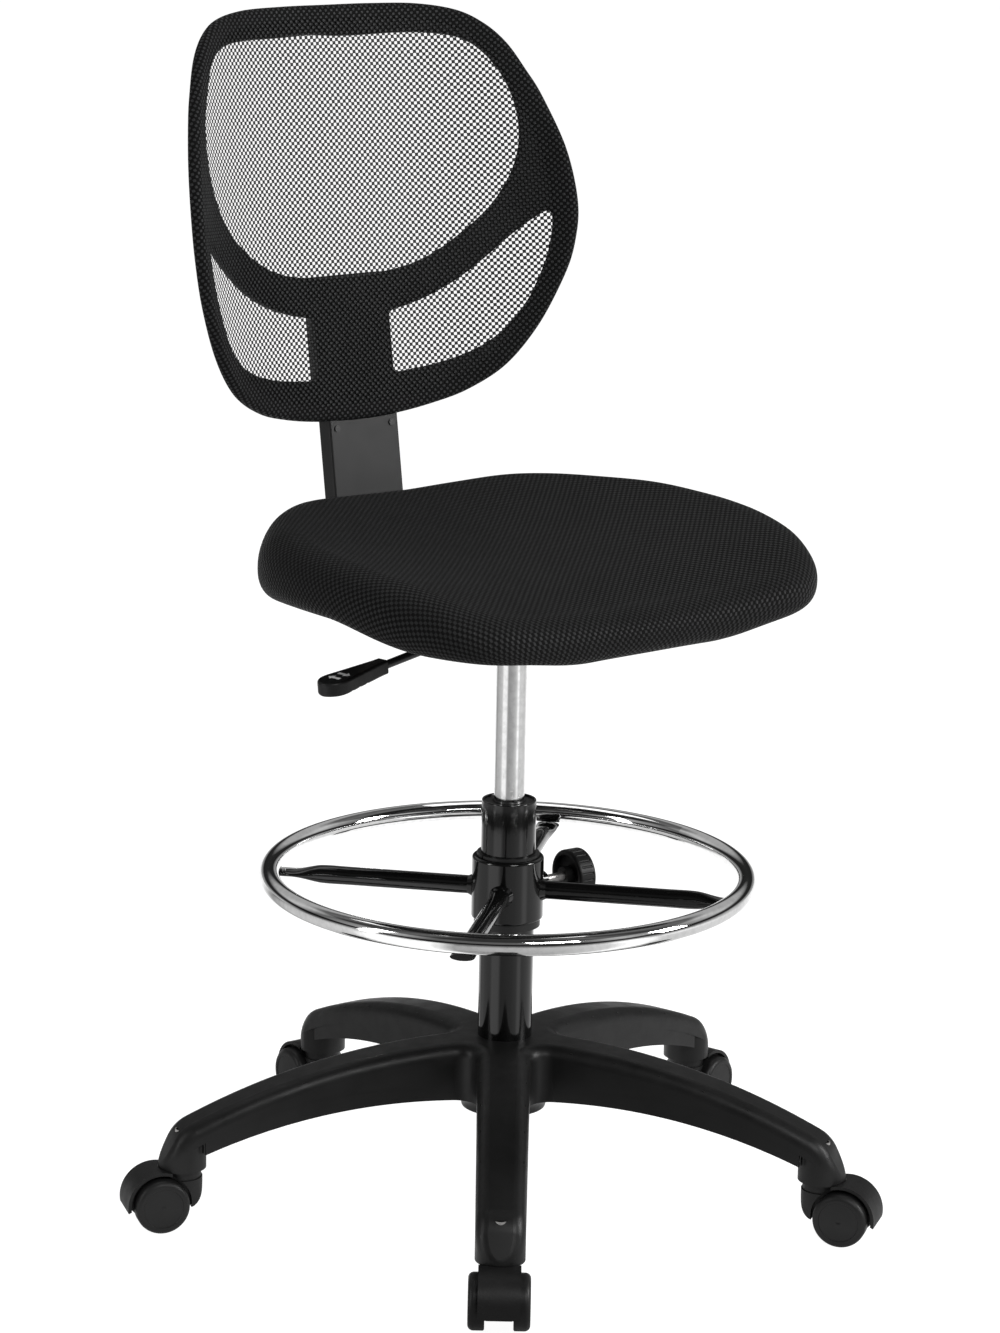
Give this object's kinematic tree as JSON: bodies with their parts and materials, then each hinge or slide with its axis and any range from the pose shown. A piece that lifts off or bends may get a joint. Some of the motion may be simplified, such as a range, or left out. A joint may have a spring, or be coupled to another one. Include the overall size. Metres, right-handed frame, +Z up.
{
  "type": "drafting chair",
  "caption": "Armless drafting chair with wrap-round mesh back, dished mesh seat, gas lift, adjustable foot ring and five-star caster base.",
  "frame": {"origin": "on the floor, on the axis of the lift column", "axes": "+Z up, the sitter faces -Y, +X is on the sitter's left-hand side"},
  "size_m": [0.6945, 0.6755, 1.0793],
  "materials": {
    "back_mesh": "black knitted mesh, see-through over the windows",
    "bush_plastic": "dark plastic",
    "caster_plastic": "matte textured black plastic",
    "chrome": "bright chrome plating",
    "gloss_black": "gloss black paint",
    "nylon": "satin, finely textured black nylon",
    "satin_black": "satin black powder coat",
    "seat_fabric": "black knitted spacer mesh",
    "steel": "bare zinc-plated steel",
    "undercover": "black non-woven sheet",
    "wheel_tread": "matte black tread",
    "wood": "birch plywood"
  },
  "bodies": {
    "base": {"star_base": "nylon", "caster_sockets": "steel", "column_tube": "gloss_black", "guide_bush": "bush_plastic", "thrust_bearing": "steel"},
    "lift_rod": {"piston_rod": "steel", "rod_clip": "steel", "bump_washer": "bush_plastic"},
    "seat": {"gas_cylinder": "chrome", "mechanism_plate": "satin_black", "taper_socket": "satin_black", "lever_pin": "steel", "seat_board": "wood", "seat_undercover": "undercover", "seat_t_nuts": "steel", "seat_bolts": "steel", "seat_cushion": "seat_fabric", "back_bar": "satin_black", "bar_bolts": "steel", "bar_cover": "nylon", "cover_screws": "satin_black", "back_frame": "nylon", "back_bolts": "satin_black", "mesh_panel": "back_mesh"},
    "lever": {"lever_rod": "satin_black", "lever_grip": "caster_plastic"},
    "release_pin": {"release_pin": "steel"},
    "ring_slider": {"ring_liner": "bush_plastic"},
    "ring": {"ring_collar": "gloss_black", "ring_spokes": "gloss_black", "foot_ring": "chrome"},
    "ring_clamp": {"ring_knob": "caster_plastic", "knob_stud": "steel"},
    "caster_1": {"caster_1_stem": "steel", "caster_1_hood": "caster_plastic", "caster_1_axle": "steel"},
    "caster_1_left": {"caster_1_wheel_left": "wheel_tread"},
    "caster_1_right": {"caster_1_wheel_right": "wheel_tread"},
    "caster_2": {"caster_2_stem": "steel", "caster_2_hood": "caster_plastic", "caster_2_axle": "steel"},
    "caster_2_left": {"caster_2_wheel_left": "wheel_tread"},
    "caster_2_right": {"caster_2_wheel_right": "wheel_tread"},
    "caster_3": {"caster_3_stem": "steel", "caster_3_hood": "caster_plastic", "caster_3_axle": "steel"},
    "caster_3_left": {"caster_3_wheel_left": "wheel_tread"},
    "caster_3_right": {"caster_3_wheel_right": "wheel_tread"},
    "caster_4": {"caster_4_stem": "steel", "caster_4_hood": "caster_plastic", "caster_4_axle": "steel"},
    "caster_4_left": {"caster_4_wheel_left": "wheel_tread"},
    "caster_4_right": {"caster_4_wheel_right": "wheel_tread"},
    "caster_5": {"caster_5_stem": "steel", "caster_5_hood": "caster_plastic", "caster_5_axle": "steel"},
    "caster_5_left": {"caster_5_wheel_left": "wheel_tread"},
    "caster_5_right": {"caster_5_wheel_right": "wheel_tread"}
  },
  "joints": [
    {"name": "seat_swivel", "type": "hinge", "parent": "base", "child": "lift_rod", "pos_m": [0, 0, 0.09], "axis": [0, 0, 1], "continuous": true},
    {"name": "seat_lift", "type": "slide", "parent": "lift_rod", "child": "seat", "axis": [0, 0, 1], "range_m": [-0.13, 0.06]},
    {"name": "lever_lift", "type": "hinge", "parent": "seat", "child": "lever", "pos_m": [-0.04945, -0.00739, 0.5525], "axis": [-0.1478, 0.989, 0], "range_deg": [0, 3.6], "stiffness_Nm_per_rad": 3, "springref_deg": -4.58},
    {"name": "release_pin_push", "type": "slide", "parent": "seat", "child": "release_pin", "axis": [0, 0, 1], "range_m": [-0.0032, 0]},
    {"name": "foot_ring_slide", "type": "slide", "parent": "base", "child": "ring_slider", "axis": [0, 0, 1], "range_m": [-0.1, 0.048]},
    {"name": "foot_ring_turn", "type": "hinge", "parent": "ring_slider", "child": "ring", "pos_m": [0, 0, 0.3], "axis": [0, 0, 1], "continuous": true},
    {"name": "ring_knob_turn", "type": "hinge", "parent": "ring", "child": "ring_clamp", "pos_m": [0.05977, -0.00523, 0.298], "axis": [0.9962, -0.0872, 0], "range_deg": [-360, 0]},
    {"name": "caster_1_swivel", "type": "hinge", "parent": "base", "child": "caster_1", "pos_m": [0.02134, 0.30525, 0.06], "axis": [0, 0, 1], "continuous": true},
    {"name": "caster_1_left_spin", "type": "hinge", "parent": "caster_1", "child": "caster_1_left", "pos_m": [0.02295, 0.3282, 0.025], "axis": [-0.9976, 0.0698, 0], "continuous": true},
    {"name": "caster_1_right_spin", "type": "hinge", "parent": "caster_1", "child": "caster_1_right", "pos_m": [0.02295, 0.3282, 0.025], "axis": [-0.9976, 0.0698, 0], "continuous": true},
    {"name": "caster_2_swivel", "type": "hinge", "parent": "base", "child": "caster_2", "pos_m": [-0.28372, 0.11463, 0.06], "axis": [0, 0, 1], "continuous": true},
    {"name": "caster_2_left_spin", "type": "hinge", "parent": "caster_2", "child": "caster_2_left", "pos_m": [-0.30504, 0.12325, 0.025], "axis": [-0.3746, -0.9272, 0], "continuous": true},
    {"name": "caster_2_right_spin", "type": "hinge", "parent": "caster_2", "child": "caster_2_right", "pos_m": [-0.30504, 0.12325, 0.025], "axis": [-0.3746, -0.9272, 0], "continuous": true},
    {"name": "caster_3_swivel", "type": "hinge", "parent": "base", "child": "caster_3", "pos_m": [-0.19669, -0.23441, 0.06], "axis": [0, 0, 1], "continuous": true},
    {"name": "caster_3_left_spin", "type": "hinge", "parent": "caster_3", "child": "caster_3_left", "pos_m": [-0.21148, -0.25203, 0.025], "axis": [0.766, -0.6428, 0], "continuous": true},
    {"name": "caster_3_right_spin", "type": "hinge", "parent": "caster_3", "child": "caster_3_right", "pos_m": [-0.21148, -0.25203, 0.025], "axis": [0.766, -0.6428, 0], "continuous": true},
    {"name": "caster_4_swivel", "type": "hinge", "parent": "base", "child": "caster_4", "pos_m": [0.16215, -0.2595, 0.06], "axis": [0, 0, 1], "continuous": true},
    {"name": "caster_4_left_spin", "type": "hinge", "parent": "caster_4", "child": "caster_4_left", "pos_m": [0.17434, -0.27901, 0.025], "axis": [0.848, 0.5299, 0], "continuous": true},
    {"name": "caster_4_right_spin", "type": "hinge", "parent": "caster_4", "child": "caster_4_right", "pos_m": [0.17434, -0.27901, 0.025], "axis": [0.848, 0.5299, 0], "continuous": true},
    {"name": "caster_5_swivel", "type": "hinge", "parent": "base", "child": "caster_5", "pos_m": [0.29691, 0.07403, 0.06], "axis": [0, 0, 1], "continuous": true},
    {"name": "caster_5_left_spin", "type": "hinge", "parent": "caster_5", "child": "caster_5_left", "pos_m": [0.31923, 0.07959, 0.025], "axis": [-0.2419, 0.9703, 0], "continuous": true},
    {"name": "caster_5_right_spin", "type": "hinge", "parent": "caster_5", "child": "caster_5_right", "pos_m": [0.31923, 0.07959, 0.025], "axis": [-0.2419, 0.9703, 0], "continuous": true}
  ],
  "couplings": [
    {"joint": "release_pin_push", "follows": "lever_lift", "m_per_rad": -0.05}
  ]
}
